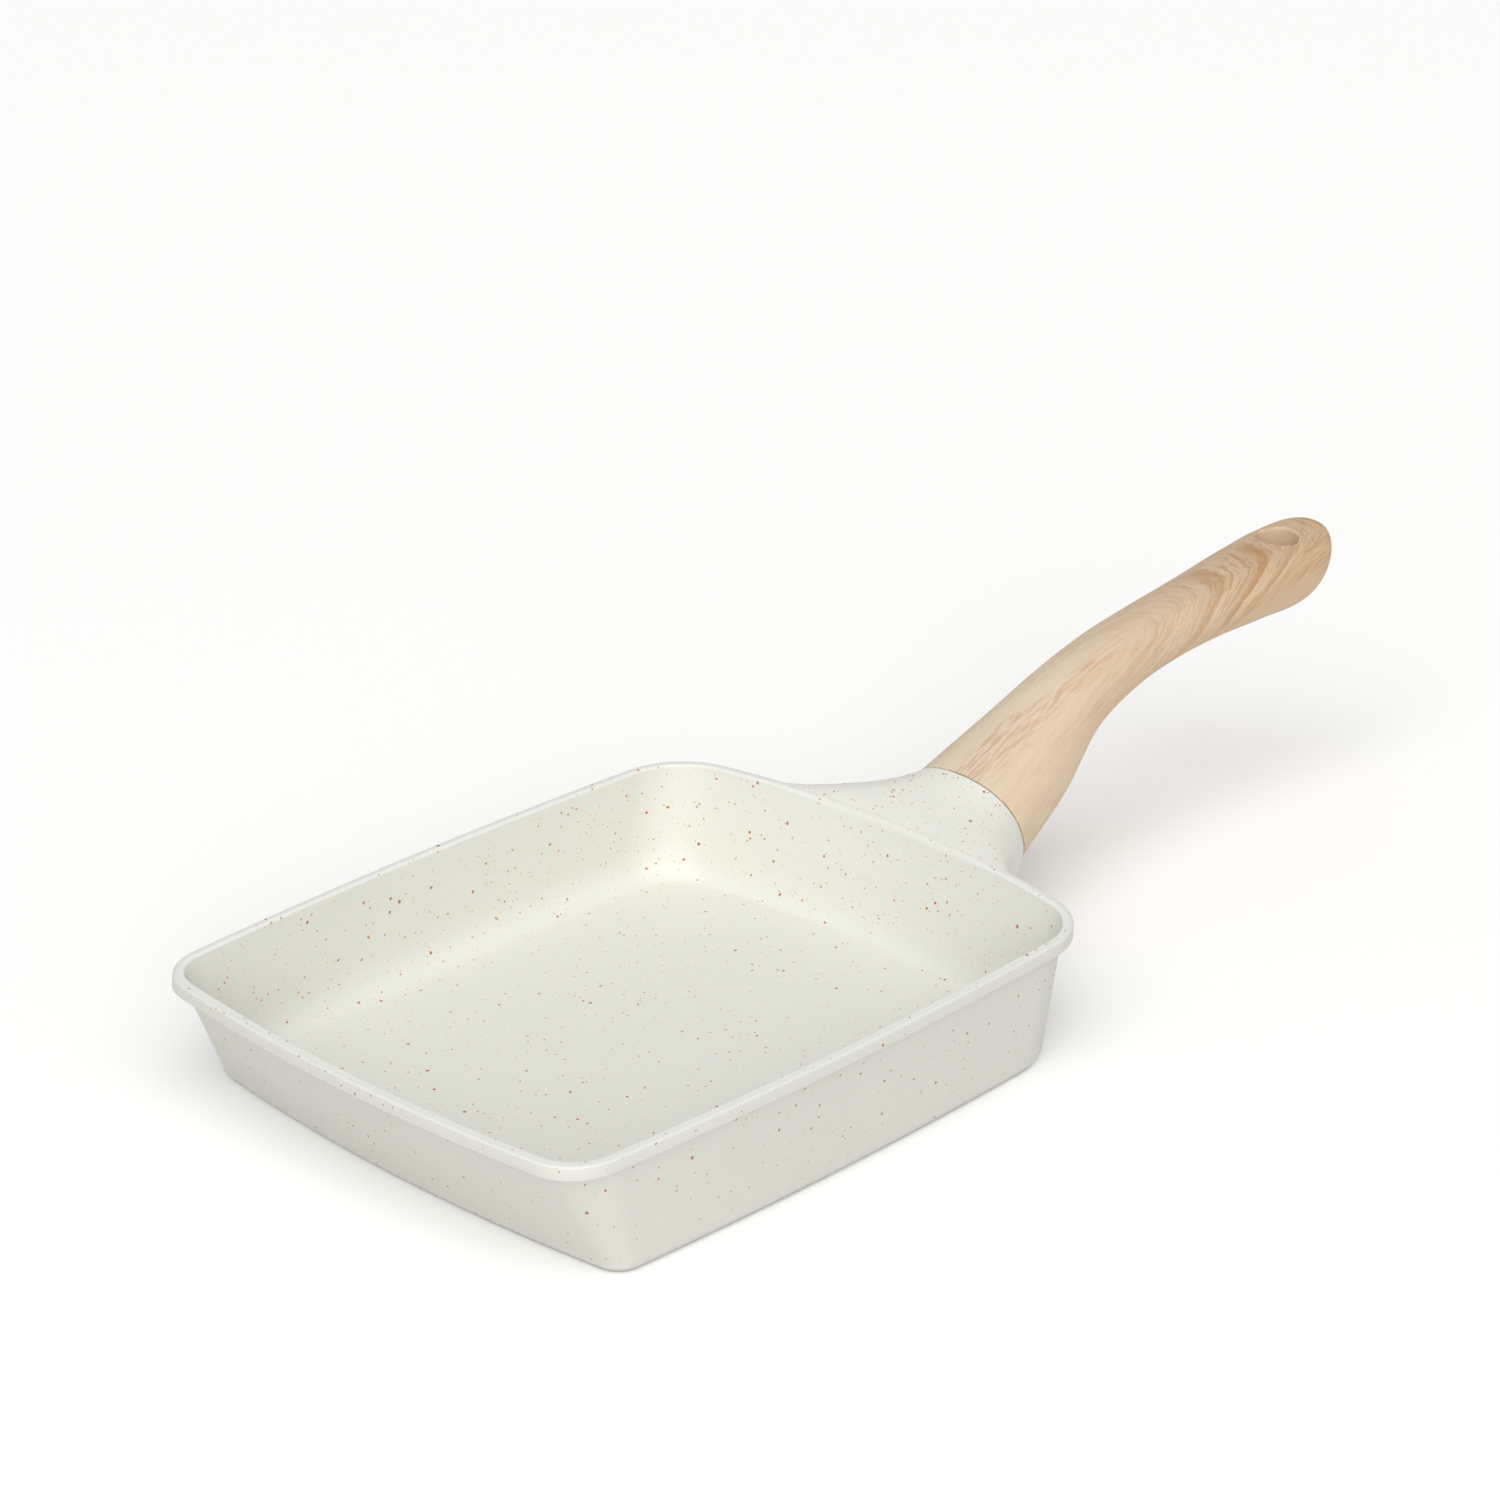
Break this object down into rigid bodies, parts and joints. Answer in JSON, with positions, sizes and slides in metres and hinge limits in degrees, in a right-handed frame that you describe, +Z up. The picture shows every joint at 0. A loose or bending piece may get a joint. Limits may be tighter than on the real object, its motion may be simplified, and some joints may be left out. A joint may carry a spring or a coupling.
{
  "type": "rectangular frying pan",
  "caption": "Rectangular cast frying pan with flared front wall, rim lip, speckled pale coating and a wood-look S-curved handle with a hanging hole.",
  "frame": {"origin": "on the surface the pan stands on, under the middle of the rim", "axes": "+X from the pan towards the handle, +Y to the left, +Z up"},
  "size_m": [0.3561, 0.15, 0.0698],
  "materials": {
    "coated_casting": "satin speckled coating",
    "plate_steel": "brushed",
    "handle_moulding": "matte, printed wood grain",
    "screw_steel": "plated"
  },
  "bodies": {
    "root": {"pan_body": "coated_casting", "base_plate": "plate_steel", "handle": "handle_moulding", "handle_screw": "screw_steel", "screw_washer": "screw_steel"}
  },
  "joints": []
}
